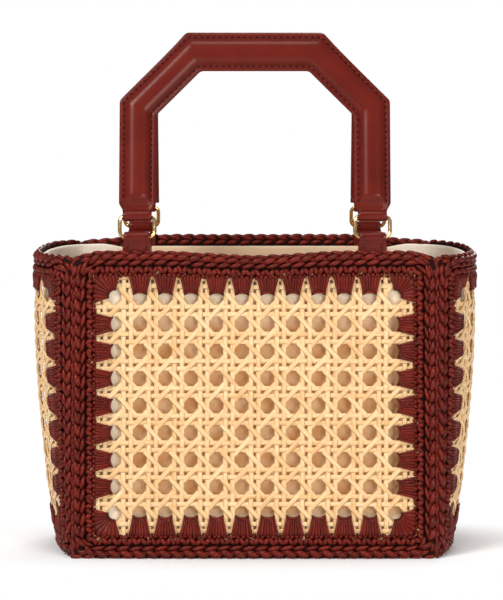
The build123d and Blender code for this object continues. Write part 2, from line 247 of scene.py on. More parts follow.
def rim_lift(x, y, below):
    """How far a place near the rim is moved up, in full at the rim and nothing below RIM_REACH.

    The front rim is pulled up at the tabs, sags between them and dips to the ridges. The back
    rim stands a little higher, and each end runs from one to the other with a low middle. All of
    it is a sum of smooth steps across the bag.
    """
    beside = np.abs(x)
    front = TAB_PULL - FRONT_SAG * smooth(1 - beside / 50) - RIDGE_DIP * smooth((beside - 77) / 15)
    back = BACK_RISE - BACK_DROP * smooth((beside - 50) / 40)
    share = smooth(0.5 + y / 60)
    crest = END_CREST * smooth(1 - np.abs(y) / 30) * smooth((beside - 70) / 20)
    return (front * (1 - share) + back * share - crest) * smooth(1 - below / RIM_REACH)


def end_arc(height):
    """The bowed wall at a height: its middle on X, its radius and half its angle."""
    share = height / RIM_HEIGHT
    chord = (FLOOR_DEPTH + (RIM_DEPTH - FLOOR_DEPTH) * share) / 2
    bow = FLOOR_BOW + (RIM_BOW - FLOOR_BOW) * share
    radius = chord**2 / (2 * bow) + bow / 2
    middle = (FLOOR_WIDTH + (RIM_WIDTH - FLOOR_WIDTH) * share) / 2 + bow - radius
    return middle, radius, np.arcsin(chord / radius)


def belly(height):
    """How far the ends swell out: BELLY sin(pi h^1.3), with h the height as a share of the rim's."""
    return BELLY * np.sin(np.pi * np.clip(height / RIM_HEIGHT, 0, 1) ** 1.3)


class BowedWall:
    """The right (side 1) or left (side -1) wall, with its widths measured along its arcs."""

    foot = end_arc(0)[1] * end_arc(0)[2]
    top = end_arc(RIM_HEIGHT)[1] * end_arc(RIM_HEIGHT)[2]
    height = RIM_HEIGHT
    half = (foot + top) / 2
    columns = 5

    def __init__(self, side):
        self.side = side

    def carry(self, flat):
        """An arc at each height: the angle is u over the arc's radius.

        The middle of the wall swells out by belly, is drawn in near the rim and the floor, and is
        drawn up near the floor. All of that dies away to the wall's edges as a cosine.
        """
        u, v, w = np.moveaxis(flat, -1, 0)
        middle, radius, _ = end_arc(v)
        swell = np.cos(np.clip(u / self.top, -1, 1) * np.pi / 2)
        w = w + swell * (belly(v) - 1.3 * smooth(v / 25 - 4.8) - 3.4 * smooth(1 - v / 34))
        v = v + 1.6 * swell * smooth(1 - v / 16)
        v = v + rim_lift(middle + radius, self.side * radius * np.sin(u / radius), self.height - v)
        angle = u / radius
        x = middle + (radius + w) * np.cos(angle)
        return standing(stack(self.side * x, self.side * (radius + w) * np.sin(angle), v))


WALLS = {
    "front": FlatWall(-1),
    "back": FlatWall(1),
    "right": BowedWall(1),
    "left": BowedWall(-1),
}


def spread(wall, u, v):
    """u of the mean rectangle widened or narrowed to the wall's own width at v."""
    return u * (wall.foot + (wall.top - wall.foot) * v / wall.height) / wall.half


def stretches(wall, row, turn):
    """The lengths of a row's eight stretches: the bottom, its right corner, the right side and on."""
    across, up = wall.half - turn, wall.height / 2 - turn
    return np.stack([[2 * across, 2 * up] * 2, [(turn - row) * np.pi / 2] * 4], 1).ravel()


def along_edge(wall, s, inset, row, turn):
    """(u, v, heading) of points s along a row of stitches, walked anticlockwise."""
    lengths = stretches(wall, row, turn)
    starts = np.concatenate([[0], np.cumsum(lengths)])
    s = s % starts[-1]
    k = np.clip(np.searchsorted(starts, s, side="right") - 1, 0, 7)
    return edge_point(wall, k, (s - starts[k]) / lengths[k], inset, turn)


def edge_point(wall, k, share, inset, turn):
    """(u, v, heading) at a share of the k-th stretch, inset from the wall's edge.

    Each corner is a quarter turn about a point that lies turn in from both edges, and a point
    stands square to the heading at the distance turn - inset from that centre line.
    """
    across, up = wall.half - turn, wall.height / 2 - turn
    side, turning = k // 2, k % 2 == 1
    heading = side * np.pi / 2 + np.where(turning, share * np.pi / 2, 0)
    before = np.where(turning, side, (side + 3) % 4)
    step = np.where(turning, 0, share * 2 * np.where(side % 2 == 0, across, up))
    out = turn - inset
    u = np.array([1, 1, -1, -1])[before] * across + step * np.cos(heading) + out * np.sin(heading)
    v = np.array([-1, 1, 1, -1])[before] * up + step * np.sin(heading) - out * np.cos(heading)
    v = v + wall.height / 2
    return spread(wall, u, v), v, heading


def cords(wall, batch, s, inset, w, thick, row, turn, tall=1.0):
    """Tapered cords laid along a wall's edge: arrays (cords, stations) of place and thickness.

    A cord's own heading is the step from each station to the next, and its width lies square to
    that heading on the wall.
    """
    s, inset, w, thick = np.broadcast_arrays(s, inset, w, thick)
    u, v, _ = along_edge(wall, s, inset, row, turn)
    way = np.gradient(np.stack([u, v], -1), axis=1)
    way /= np.linalg.norm(way, axis=-1, keepdims=True)
    across = stack(-way[..., 1], way[..., 0], 0.0)
    lay_tubes(wall, batch, stack(u, v, w), across, thick, 6, tall)


def lay_tubes(wall, batch, centre, across, thick, sides=6, tall=1.0):
    """Tubes of oval section on a wall: centre + thick (across cos a + w tall sin a)."""
    section = oval(sides, 0.5)
    out = np.array([0, 0, tall])
    shape = across[:, :, None] * section[:, 0, None] + out * section[:, 1, None]
    points = wall.carry(centre[:, :, None] + thick[:, :, None, None] * shape)
    count, stations = thick.shape
    tone = rng.random((count, 1, 1))
    along = np.linspace(0, 1, stations)[None, :, None]
    around = (np.arange(sides) / sides)[None, None]
    batch.add(points, stack(tone, along, around))


# Crochet


def chain_row(wall, batch, row, turn, tilt, opens, thick, height, sides=(0, 1, 2, 3), bulge=1):
    """Half of a chain of stitches: leaves that lie aslant, each tucked in under its neighbours.

    A leaf runs over 1.15 stitches, and its inset moves by tilt on either side of the row. Its
    thickness is the sine of a half turn, so it is fat in its middle, and opens says for each of
    the four sides whether the leaves point along the walk round the wall (1) or against it (-1).
    Only the named sides get leaves: 0 bottom, 1 right, 2 top and 3 left. The leaves bulge out of
    the wall, or with a bulge of -1 into the bag.
    """
    lengths = stretches(wall, row, turn)
    count = round(lengths.sum() / STITCH)
    start = (np.arange(count) * lengths.sum() / count)[:, None] + rng.normal(0, 0.12, (count, 1))
    side = np.round(along_edge(wall, start, row, row, turn)[2] / (np.pi / 2)).astype(int) % 4
    kept = np.isin(side, sides)
    start, side = start[kept][:, None], side[kept][:, None]
    count = len(start)
    flow = np.array(opens)[side]
    t = np.linspace(0, 1, 9)[None]
    s = start + flow * STITCH * 1.15 * (t - 0.5)
    inset = row + tilt * (2 * smooth(t) - 1) + rng.normal(0, 0.1, (count, 1))
    body = np.sin(np.pi * (0.05 + 0.9 * t**0.9)) ** 0.7
    w = height + bulge * (0.9 * np.sin(np.pi * (0.06 + 0.88 * t)) - 0.9)
    cords(wall, batch, s, inset, w, thick * body * rng.normal(1, 0.05, (count, 1)), row, turn, 0.95)


def knots(wall, batch, row, turn, height, reach, thick):
    """A row of short stitches: fat ovals that stand across the row and lean by turns.

    Each is a line of half length reach, thick as the root of 1.03 - t^2 along it.
    """
    length = stretches(wall, row, turn).sum()
    count = 2 * round(length / KNOT_PITCH / 2)
    start = (np.arange(count) * length / count)[:, None] + rng.normal(0, 0.15, (count, 1))
    lean = np.where(np.arange(count) % 2, 0.62, -0.62)[:, None] + rng.normal(0, 0.16, (count, 1))
    t = np.linspace(-1, 1, 7)[None]
    reach = rng.normal(reach, 0.12, (count, 1))
    s = start + reach * t * np.sin(lean)
    inset = row + reach * t * np.cos(lean) + rng.normal(0, 0.12, (count, 1))
    w = height + 0.5 * (1 - t**2) + rng.normal(0, 0.12, (count, 1))
    cords(wall, batch, s, inset, w, thick * np.sqrt(1.03 - t**2), row, turn, 0.95)


def band(wall, batch):
    """The closed strip under the stitches, near black as painted shade between them: a rounded oblong section
    carried round the wall.

    The inner points of the section turn about a place further in, so the strip stays open there.
    """
    across, out = oblong(0.45, 0.45)
    inset = 6.0 + 5.4 * across
    w = -1.75 + 0.75 * out
    stretch, share = np.divmod(np.arange(8 * 24) / 24, 1)
    turn = np.maximum(EDGE_TURN, inset + 1.0)
    u, v, _ = edge_point(wall, stretch.astype(int)[:, None], share[:, None], inset, turn)
    points = wall.carry(stack(u, v, w[None]))
    # Zero marks take it to the crochet's darkest colour: painted shade between the stitches.
    batch.add(points[None], np.zeros((1, *u.shape, 3)), closed=True)


def fan_loops(wall, batch, foot, tip, thick):
    """Loops of a fan from the band (foot) into an opening (tip): arrays of flat points.

    A loop is straight seen from the front, and plump near its foot. Out of the wall it is an arch
    with a small hump near the opening, and then it dives through the opening.
    """
    t = np.linspace(0, 1, 9)[None, :, None]
    line = foot[:, None] + (tip - foot)[:, None] * t
    t = t[..., 0]
    w = 0.9 * np.sin(np.pi * t**0.55) - 0.5 + 0.4 * np.exp(-(((t - 0.83) / 0.1) ** 2))
    w = w - 1.8 * smooth((t - 0.9) / 0.1) - 0.7 * smooth((0.12 - t) / 0.12)
    way = (tip - foot) / np.linalg.norm(tip - foot, axis=1, keepdims=True)
    across = stack(-way[:, 1], way[:, 0], 0.0)[:, None] * np.ones((1, 9, 1))
    rounded = (0.35 + 0.65 * smooth(t / 0.14)) * (0.9 + 0.14 * np.exp(-(((t - 0.25) / 0.2) ** 2)))
    lay_tubes(wall, batch, stack(line[..., 0], line[..., 1], w), across, thick * rounded)


def fan_ends(wall, batch, places, opening, inward, upright):
    """The cord that ties each fan together at its opening: an arc that dives in at both ends."""
    over = np.linspace(-1, 1, 9)[None]
    along = places[:, None] + over * FAN_TIP * 0.52
    reach = opening - inward * (0.5 + 1.3 * (1 - over**2)) + np.zeros_like(along)
    u, v = (along, reach) if upright else (reach, along)
    w = 0.15 - 1.5 * np.abs(over) ** 6
    across = np.broadcast_to([0, 1.0, 0] if upright else [1.0, 0, 0], (*along.shape, 3))
    thick = np.broadcast_to(0.62 - 0.2 * np.abs(over) ** 3, along.shape)
    lay_tubes(wall, batch, stack(spread(wall, u, v), v, w), across, thick)


def side_fans(wall, batch):
    """The fans along the four sides, one for each opening of the outermost ring but the corners."""
    columns = (np.arange(1, wall.columns - 1) - (wall.columns - 1) / 2) * PITCH_ACROSS
    rows = FIRST_ROW + np.arange(1, HOLE_ROWS - 1) * PITCH_UP
    lane = (np.arange(FAN_LOOPS) - (FAN_LOOPS - 1) / 2) / FAN_LOOPS
    outermost = (wall.columns - 1) / 2 * PITCH_ACROSS
    t = np.linspace(0, 1, 9)[None]
    thick = (FAN_ROOT + (FAN_TIP - FAN_ROOT) * t) / FAN_LOOPS * 0.58
    for places, edge, opening, upright in (
        (columns, BAND, FIRST_ROW - FAN_COVER, True),
        (columns, wall.height - BAND, TOP_ROW + FAN_COVER, True),
        (rows, BAND - wall.half, -outermost - FAN_COVER, False),
        (rows, wall.half - BAND, outermost + FAN_COVER, False),
    ):
        middle, own = np.repeat(places, FAN_LOOPS), np.tile(lane, len(places))
        count = len(middle)
        foot_along = middle + own * FAN_ROOT + rng.normal(0, 0.1, count)
        tip_along = middle + own * FAN_TIP
        inward = np.sign(opening - edge)
        near = edge - inward * rng.uniform(0.1, 0.7, count)
        far = opening - inward * 1.3 * (1 - (2 * own) ** 2)
        foot = stack(foot_along, near) if upright else stack(near, foot_along)
        tip = stack(tip_along, far) if upright else stack(far, tip_along)
        for points in (foot, tip):
            points[:, 0] = spread(wall, points[:, 0], points[:, 1])
        fan_loops(wall, batch, foot, tip, thick * rng.normal(1, 0.04, (count, 1)))
        fan_ends(wall, batch, places, opening, inward, upright)


def corner_fans(wall, batch):
    """Loops that radiate from each corner opening and widen to fill the corner of the band.

    Their feet lie on a rounded corner, at ((cos / a)^6 + (sin / b)^6)^(-1/6) from the opening for
    a corner a across and b up from it.
    """
    outermost = (wall.columns - 1) / 2 * PITCH_ACROSS
    lane = np.arange(CORNER_LOOPS) - (CORNER_LOOPS - 1) / 2
    angle = np.pi / 4 + lane * CORNER_PITCH
    way = np.stack([np.cos(angle), np.sin(angle)], -1)
    across = wall.half - BAND - outermost
    t = np.linspace(0, 1, 9)[None]
    for right in (-1, 1):
        for top, row, up in ((-1, FIRST_ROW, FIRST_ROW - BAND), (1, TOP_ROW, wall.height - TOP_ROW - BAND)):
            corner = (np.clip(way / [across, up], 0, None) ** 6).sum(1) ** (-1 / 6) + 0.4
            middle = np.array([right * outermost, row])
            foot = middle + way * [right, top] * corner[:, None]
            tip = middle + way * [right, top] * CORNER_TIP
            thick = (corner[:, None] * (1 - t) + CORNER_TIP * t) * CORNER_PITCH * 0.66
            for points in (foot, tip):
                points[:, 0] = spread(wall, points[:, 0], points[:, 1])
            fan_loops(wall, batch, foot, tip, thick)


def crochet_edge(name, wall):
    """All stitches of one wall: a near-black strip of painted shade, edge rows, chain of two halves, two rows
    of knots, and fans.

    A flat wall's rim also shows a chain on the inside of the bag.
    """
    batch = Batch()
    band(wall, batch)
    chain_row(wall, batch, EDGE_ROW, EDGE_TURN, -0.6, (-1, -1, 1, 1), 1.25, -1.3)
    chain_row(wall, batch, OUTER_ROW + 0.6, EDGE_TURN + 4, 0.8, (1, 1, -1, -1), 1.4, -1.1)
    chain_row(wall, batch, OUTER_ROW, OUTER_TURN, -0.85, (1, 1, -1, -1), 1.5, 0.2)
    chain_row(wall, batch, INNER_ROW, INNER_TURN, 0.7, (1, 1, 1, -1), 1.2, 0.1)
    knots(wall, batch, KNOT_ROW, KNOT_TURN, -0.4, 2.2, 1.3)
    knots(wall, batch, KNOT_ROW + 2.4, KNOT_TURN + 1, -0.8, 1.2, 1.2)
    if isinstance(wall, FlatWall):
        chain_row(wall, batch, EDGE_ROW + 0.6, EDGE_TURN, -0.7, (1, 1, -1, -1), 1.35, -2.4, (2,), -1)
        chain_row(wall, batch, EDGE_ROW + 2.8, EDGE_TURN + 2, 0.7, (1, 1, -1, -1), 1.25, -2.3, (2,), -1)
    side_fans(wall, batch)
    corner_fans(wall, batch)
    batch.piece(f"{name}_crochet", "bag", "crochet", crochet_look(), (f"{name}_border",))


# Cane


def ribbon(wall, batch, centre, across, tone, length_from):
    """Flat strands with a slightly crowned face along centre lines in flat coordinates."""
    section = np.array([(1, -0.1), (0.62, 0.42), (-0.62, 0.42), (-1, -0.1), (-0.7, -0.5), (0.7, -0.5)])
    half, thick = STRAND_WIDTH / 2, STRAND_THICK
    shape = (
        across[:, :, None] * (section[:, 0, None] * half)
        + np.array([0, 0, 1.0]) * section[:, 1, None] * thick
    )
    points = wall.carry(centre[:, :, None] + shape)
    step = np.linalg.norm(np.diff(centre, axis=1), axis=-1)
    along = np.concatenate([np.zeros((len(step), 1)), np.cumsum(step, 1)], 1) + length_from
    marks = stack(section[None, None, :, 0], along[:, :, None] / 10, tone[:, None, None])
    batch.add(points, marks)


def cane_limits(wall):
    """Where the webbing ends, under the crochet band."""
    under = BAND - 1.8
    return wall.half - under, under, wall.height - under


def pair_places(count, pitch, middle):
    """The middles of the pairs of strands, one more than the openings between them."""
    return middle + (np.arange(count + 1) - count / 2) * pitch


def straight_strands(wall, batch, upright):
    """The pairs of upright or level strands, which go over and under each other in turn.

    Depth is a wave that is highest over one strand of the crossing pair and lowest under the
    other, and dies away between the pairs.
    """
    edge, low, high = cane_limits(wall)
    columns = pair_places(wall.columns, PITCH_ACROSS, 0)
    rows = pair_places(HOLE_ROWS, PITCH_UP, MIDDLE_ROW)
    own, cross = (columns, rows) if upright else (rows, columns)
    ends = (low, high) if upright else (-edge, edge)
    inside = (edge, edge) if upright else (high, -low)
    own = own[(own < inside[0] - 1) & (own > -inside[1] + 1)]
    strand = np.repeat(own, 2) + np.tile([-PAIR_HALF, PAIR_HALF], len(own))
    turn = np.tile([-1, 1], len(own))[:, None]
    samples = int((ends[1] - ends[0]) / STRAND_STEP)
    t = np.linspace(ends[0], ends[1], samples)[None] * np.ones((len(strand), 1))
    offset = t[..., None] - cross
    wave = (offset / PAIR_HALF * np.exp(0.5 - 0.5 * (offset / PAIR_HALF) ** 2)).sum(-1)
    direction = 1 if upright else -1
    w = CANE_MIDDLE + direction * turn * WEAVE_DEPTH * wave
    waver = 0.12 * np.sin(t / 9 + rng.random((len(strand), 1)) * 6)
    place = strand[:, None] + (waver + rng.normal(0, 0.07, (len(strand), 1)))
    if upright:
        centre, across = stack(place, t, w), np.array([1.0, 0, 0])
    else:
        centre, across = stack(t, place, w), np.array([0, 1.0, 0])
    centre = stack(spread(wall, centre[..., 0], centre[..., 1]), centre[..., 1], w)
    across = np.broadcast_to(across, centre.shape)
    ribbon(wall, batch, centre, across, rng.random(len(strand)), rng.random((len(strand), 1)) * 90)


def slanting_strands(wall, batch, slant):
    """Strands at 45 degrees that pass midway between the crossings of the pairs.

    Falling strands go over the upright pairs and under the level ones, and rising strands the
    other way, so the depth is a cosine with one turn for each opening. Columns and rows are
    counted in openings from the middle one, and on a strand row + slant * column is its level.
    """
    edge, low, high = cane_limits(wall)
    first_column = (wall.columns - 1) / 2
    extent = edge / PITCH_ACROSS
    bottom, top = (low - MIDDLE_ROW) / PITCH_UP, (high - MIDDLE_ROW) / PITCH_UP
    level = np.arange(-40, 41) + 0.5 + first_column % 1 + (HOLE_ROWS - 1) / 2 % 1
    start = np.maximum(-extent, np.minimum(slant * (level - bottom), slant * (level - top)))
    end = np.minimum(extent, np.maximum(slant * (level - bottom), slant * (level - top)))
    kept = end - start > 0.25
    level, start, end = level[kept][:, None], start[kept][:, None], end[kept][:, None]
    column = start + (end - start) * np.linspace(0, 1, SLANT_STATIONS)[None]
    row = level - slant * column
    phase = np.cos(2 * np.pi * (column - first_column))
    w = CANE_MIDDLE - slant * SLANT_DEPTH * phase
    u, v = column * PITCH_ACROSS, MIDDLE_ROW + row * PITCH_UP
    centre = stack(spread(wall, u, v), v, w)
    way = np.array([PITCH_ACROSS, -slant * PITCH_UP]) / np.hypot(PITCH_ACROSS, PITCH_UP)
    across = np.broadcast_to(np.array([-way[1], way[0], 0]), centre.shape)
    count = len(level)
    ribbon(wall, batch, centre, across, rng.random(count), rng.random((count, 1)) * 90)


def cane_panel(name, wall):
    """The woven webbing of one wall."""
    batch = Batch()
    straight_strands(wall, batch, True)
    straight_strands(wall, batch, False)
    slanting_strands(wall, batch, 1)
    slanting_strands(wall, batch, -1)
    batch.piece(f"{name}_webbing", "bag", "cane", cane_look(), (f"{name}_cane",))


# Lining and base


def plan_ring(height, inset, count=240):
    """The bag's outline seen from above at a height, drawn in by inset, with softened corners.

    Points run evenly round straight walls and end arcs from the +X end, then each is averaged
    with its neighbours.
    """
    middle, radius, turn = end_arc(height)
    chord = radius * np.sin(turn)
    ridge = middle + radius * np.cos(turn)
    fine = 1600
    arc, flat = 2 * radius * turn, 2 * ridge
    s = np.arange(fine) / fine * 2 * (arc + flat) - arc / 2
    part = np.clip(np.searchsorted([arc / 2, arc / 2 + flat, 1.5 * arc + flat], s, side="right"), 0, 3)
    start = np.array([0, arc / 2, arc + flat, 1.5 * arc + flat])[part]
    gone = s - start
    end_angle = gone / radius + np.where(part == 2, np.pi, 0)
    out = radius - inset + 0.8 * belly(height) * np.cos(gone / radius)
    x = np.where(part % 2 == 0, np.cos(end_angle) * out + np.where(part == 2, -middle, middle), 0)
    y = np.where(part % 2 == 0, np.sin(end_angle) * out, 0)
    x = np.where(part == 1, ridge - gone, np.where(part == 3, gone - ridge, x))
    y = np.where(part == 1, chord - inset, np.where(part == 3, inset - chord, y))
    for _ in range(3):
        x = sum(np.roll(x, k) for k in range(-10, 11)) / 21
        y = sum(np.roll(y, k) for k in range(-10, 11)) / 21
    keep = ((np.arange(count) + 0.5) * fine // count).astype(int)
    return x[keep], y[keep]


def cup(batch, profile, marks, pressed=0):
    """A closed surface of rings: each (height, inset, share) is a plan ring shrunk to a share.

    marks takes the rings' points and gives a vector for the material on each. The first pressed
    rings lie further out beside the middle of the walls and a little further in behind it, and
    every ring near the rim is raised at the bag's ends.
    """
    rings = []
    for number, (height, inset, share) in enumerate(profile):
        x, y = plan_ring(height, inset)
        if number < pressed:
            open_height = smooth((RIM_HEIGHT - 9 - height) / 4) * smooth((height - 9) / 4)
            close = smooth((84 - np.abs(x)) / 5) * open_height * (1 - behind_cane(x, height))
            y = y + np.sign(y) * (LINING_PRESS * close - 0.6 * behind_cane(x, height))
        ends = smooth((np.abs(x) - 64) / 18) * smooth(height / RIM_HEIGHT * 4 - 3)
        lifted = height + rim_lift(x, y, RIM_HEIGHT - height) + LINING_RAISE * ends
        rings.append(np.stack([x * (0.1 + 0.9 * share), y * share, lifted], -1))
    points = np.array(rings)[None]
    batch.add(points, marks(points))


def behind_cane(x, z):
    """How deep a place of the lining lies behind the middle of the cane, from 0 to 1.

    At the front's left edge the cloth lies close behind the cane, and hangs slack to the right.
    """
    from_edge = np.where(x < 0, 74, 88) - np.abs(x)
    return smooth(from_edge / 14) * smooth((RIM_HEIGHT - 18 - z) / 20) * smooth((z - 14) / 12)


def painted_cane_shade(points):
    """Where the lining's material paints shade and warm light from the cane: outside, deep behind the cane,
    and inside below the hem (0 to 1).
    """
    x, z = points[..., 0], points[..., 2]
    behind = behind_cane(x, z)
    ring = np.arange(points.shape[1])[None, :, None]
    # Inside below the hem, away from the ends, the cloth is painted tan for the warm light of the cane.
    inside = smooth((80 - np.abs(x)) / 16) * (ring > LINING_OUTER + 1)
    return stack((ring < LINING_OUTER) * 1.0, behind, inside)


def cloth_lining():
    """The cloth bag: up its outside, over the folded hem and down its inside to the floor."""
    low, high, inset = LINING_FLOOR, RIM_HEIGHT - 5.3, LINING_INSET
    batch = Batch()
    heights = np.linspace(low, high - 0.6, LINING_OUTER - 4)
    profile = [(low, inset + 0.5, share) for share in (0.04, 0.35, 0.7, 0.95)]
    profile += [(height, inset, 1.0) for height in heights]
    profile += [(high - 0.15, inset + 0.35, 1.0), (high, inset + 0.9, 1.0), (high - 0.2, inset + 1.5, 1.0)]
    profile += [(high - 0.9, inset + 1.75, 1.0), (high - HEM * 0.5, inset + 1.65, 1.0)]
    profile += [(high - HEM + 0.3, inset + 1.7, 1.0), (high - HEM, inset + 1.45, 1.0)]
    profile += [(height, inset + 1.0, 1.0) for height in heights[::-1] - HEM * heights[::-1] / high + 1.0]
    profile += [(low + 1.0, inset + 1.5, share) for share in (0.95, 0.7, 0.35, 0.04)]
    cup(batch, profile, painted_cane_shade, LINING_OUTER)
    piece = batch.piece("cloth_lining", "bag", "lining", lining_look(), ("lining",))
    around = np.linalg.norm(np.diff(np.stack(plan_ring(75.0, inset)), axis=1), axis=0).sum()


def base_panel():
    """The crocheted bottom: rounds of stitches about the middle line, knobbly underneath."""
    batch = Batch()
    shares = np.linspace(0.03, 0.985, 40)
    profile = [(2.9, 3.2, share) for share in (0.03, 0.5, 0.97)]
    profile += [(1.6, 3.0, 1.0)]
    profile += [(0.35 + 0.45 * (k % 2), 3.2, share) for k, share in enumerate(shares[::-1])]
    cup(batch, profile, lambda points: np.broadcast_to([0.5, 0.5, 0.0], points.shape))
    batch.piece("base_crochet", "bag", "crochet", crochet_look(), ("base_panel",))


# Leather


def handed(word, hand):
    """The first words of the name of a tab or ring: its wall, then its side of the bag."""
    return f"{word}_{'right' if hand > 0 else 'left'}"


def strap_band(place, path, normal, width, thick, batch):
    """A strap of rounded oblong section along a path: arrays of stations.

    The section's points are path + normal * y along the leather's thickness, and x across it.
    """
    edge, face = oblong(0.35, 0.8)
    across = edge[None] * (width / 2)[:, None]
    line = path[:, None] + normal[:, None] * (face[None, :, None] * thick / 2)
    points = place(across, line[..., 0], line[..., 1])
    step = np.linalg.norm(np.diff(path, axis=0), axis=1)
    along = np.concatenate([[0], np.cumsum(step)])[:, None]
    marks = stack(across / 10, along / 10, np.abs(edge)[None])
    batch.add(points[None], marks[None])


def looped_path(neck, length, spacing):
    """A strap's line (out, up) up one face, round the ring's bar and down the other face.

    The straight part meets the bar's circle on the tangent from the neck.
    """
    distance = np.hypot(spacing, neck)
    touch = np.arctan2(-neck, spacing) + np.arccos(LOOP_RADIUS / distance)
    arc = np.linspace(touch, np.pi - touch, 28)
    round_bar = np.stack([np.cos(arc), np.sin(arc)], -1) * LOOP_RADIUS
    rising = np.stack([np.full(8, spacing), np.linspace(-length, -neck, 8)], -1)
    falling = rising[::-1] * [-1, 1]
    path = np.concatenate([rising, round_bar, falling])
    way = np.gradient(path, axis=0)
    way /= np.linalg.norm(way, axis=1, keepdims=True)
    return path, np.stack([way[:, 1], -way[:, 0]], -1)


def tab(side, hand, word):
    """The leather strap folded round the lower bar of a ring, with its two lines of thread."""
    batch = Batch()
    middle = hand * RING_SPACING / 2

    def place(across, out, up):
        """A point of the tab's plane, which leans with the wall through the ring's lower bar."""
        return leaning(side, across - side * middle, up, out, LEAN, PIVOT_OUT, PIVOT_HEIGHT)

    path, normal = looped_path(TAB_NECK, TAB_DEPTH + 8, LEATHER / 2)
    narrow = smooth((path[:, 1] + TAB_NECK) / (TAB_NECK - 1))
    width = TAB_WIDTH + (TAB_LOOP - TAB_WIDTH) * narrow
    strap_band(place, path, normal, width, LEATHER, batch)
    name = handed(word, hand)
    batch.piece(f"{name}_tab_leather", "bag", "leather", leather_look(), (f"{name}_tab",))
    threads = Batch()
    up = -np.arange(0.2, TAB_DEPTH, TAB_THREAD_PITCH)
    rising = path[:20]  # the outward face, to where the loop starts to turn back
    out = np.interp(up, rising[:, 1], rising[:, 0]) + LEATHER / 2
    still = np.zeros(len(up))
    for face in (-1, 1):
        for across in (TAB_THREAD_INSET - TAB_WIDTH / 2, TAB_WIDTH / 2 - TAB_THREAD_INSET):
            stitches(threads, lambda x, y, z: place(x, z, y), still + across, up, face * out, still,
                     TAB_THREAD_PITCH)
    threads.piece(f"{name}_tab_thread", "bag", "leather", thread_look())


def stitches(batch, place, across, up, out, turn, pitch):
    """A line of sewing on a face: a thread over most of each stitch, then a dark hole, a near-black tube of
    painted shade.

    Both are short tapered tubes turned by their own angle, and the mark's first number is 1 on
    the holes.
    """
    t = np.linspace(-1, 1, 5)[None]
    way = np.stack([np.sin(turn), np.cos(turn)], -1)
    section = oval(6, 0.5)
    for dark, shift, length, width, tall in ((0, -0.16, 0.52, 0.34, 1.0), (1, 0.34, 0.5, 0.5, 0.4)):
        thick = width * np.sqrt(np.clip(1.15 - t**2, 0, 1)) * np.ones((len(across), 1))
        along = (shift + t * length / 2) * pitch
        x, y = across[:, None] + way[:, :1] * along, up[:, None] + way[:, 1:] * along
        z = out[:, None] + np.sign(out[:, None]) * (0.02 + (1 - dark) * 0.12 * (1 - t**2))
        x = x[..., None] + way[:, 1, None, None] * thick[..., None] * section[:, 0]
        y = y[..., None] - way[:, 0, None, None] * thick[..., None] * section[:, 0]
        z = z[..., None] + tall * thick[..., None] * section[:, 1]
        points = place(x, y, z)
        batch.add(points, stack(float(dark), 0.0, np.zeros(points.shape[:3])))


def octagon_line(offset, pull):
    """The handle's line moved outwards by offset, its four corners rounded over a length pull.

    Each corner is the curve (1-t)^2 A + 2t(1-t) V + t^2 B from a point before it to one after.
    """
    half = RING_SPACING / 2
    top = HANDLE_RISE - STRAP_WIDTH / 2
    bevel = HANDLE_BEVEL - (1 - np.tan(np.pi / 8)) * STRAP_WIDTH / 2
    corners = np.array([(-half, top - bevel), (bevel - half, top), (half - bevel, top), (half, top - bevel)])
    ways = np.radians([90, 45, 0, -45, -90])
    way = np.stack([np.cos(ways), np.sin(ways)], -1)
    left = np.stack([-np.sin(ways), np.cos(ways)], -1)
    mitre = (left[:-1] + left[1:]) / (1 + (left[:-1] * left[1:]).sum(1, keepdims=True))
    vertex = corners[None] + offset[:, None, None] * mitre[None]
    before = vertex - pull * way[None, :-1]
    after = vertex + pull * way[None, 1:]
    t = np.linspace(0, 1, 5)[None, None, :, None]
    return (1 - t) ** 2 * before[:, :, None] + 2 * t * (1 - t) * vertex[:, :, None] + t**2 * after[:, :, None]


def handle_stations(offset, start, straight=14):
    """Stations (offsets, stations, 2) along the whole handle, from one leg's end to the other's.

    They are evenly spaced on each straight stretch, and closer at the legs' ends.
    """
    bend = octagon_line(offset, 1.6)
    half = RING_SPACING / 2
    foot_left = np.stack([-half - offset, np.full(len(offset), start)], -1)
    foot_right = foot_left * [-1, 1]
    ends = [foot_left] + [bend[:, k] for k in range(4)] + [foot_right]
    share = np.linspace(0, 1, straight + 2)[1:-1][None, :, None]
    first = np.concatenate([np.linspace(0, 0.16, 9)[:-1], np.linspace(0.16, 1, straight)[:-1]])[None, :, None]
    parts = []
    for k in range(5):
        a = ends[k] if k == 0 else ends[k][:, -1]
        b = ends[k + 1] if k == 4 else ends[k + 1][:, 0]
        gaps = first if k == 0 else (1 - first[:, ::-1] if k == 4 else share)
        if k:
            parts.append(ends[k])
        parts.append(a[:, None] + (b - a)[:, None] * gaps)
    return np.concatenate(parts, 1)


def padding(across, rise):
    """Half the handle's thickness: a flat stitched edge and a raised middle with round shoulders.

    The edge ends as a power of the way in from it, the middle is 1 - (way out / 6.2)^2.6 to the
    power 0.8, times rise, and the seam is a narrow dip.
    """
    beside = np.abs(across)
    flat = LEATHER * np.clip((STRAP_WIDTH / 2 + 0.02 - beside) / 0.9, 0, 1) ** 0.4
    hill = 1 - np.clip((beside - 0.4) / 6.2, 0, 1) ** 2.6
    seam = 0.22 * np.exp(-(((beside - STRAP_WIDTH / 2 + THREAD_INSET) / 0.5) ** 2))
    return flat + (PADDING_HEIGHT - LEATHER + 0.1) * hill**0.8 * rise - seam


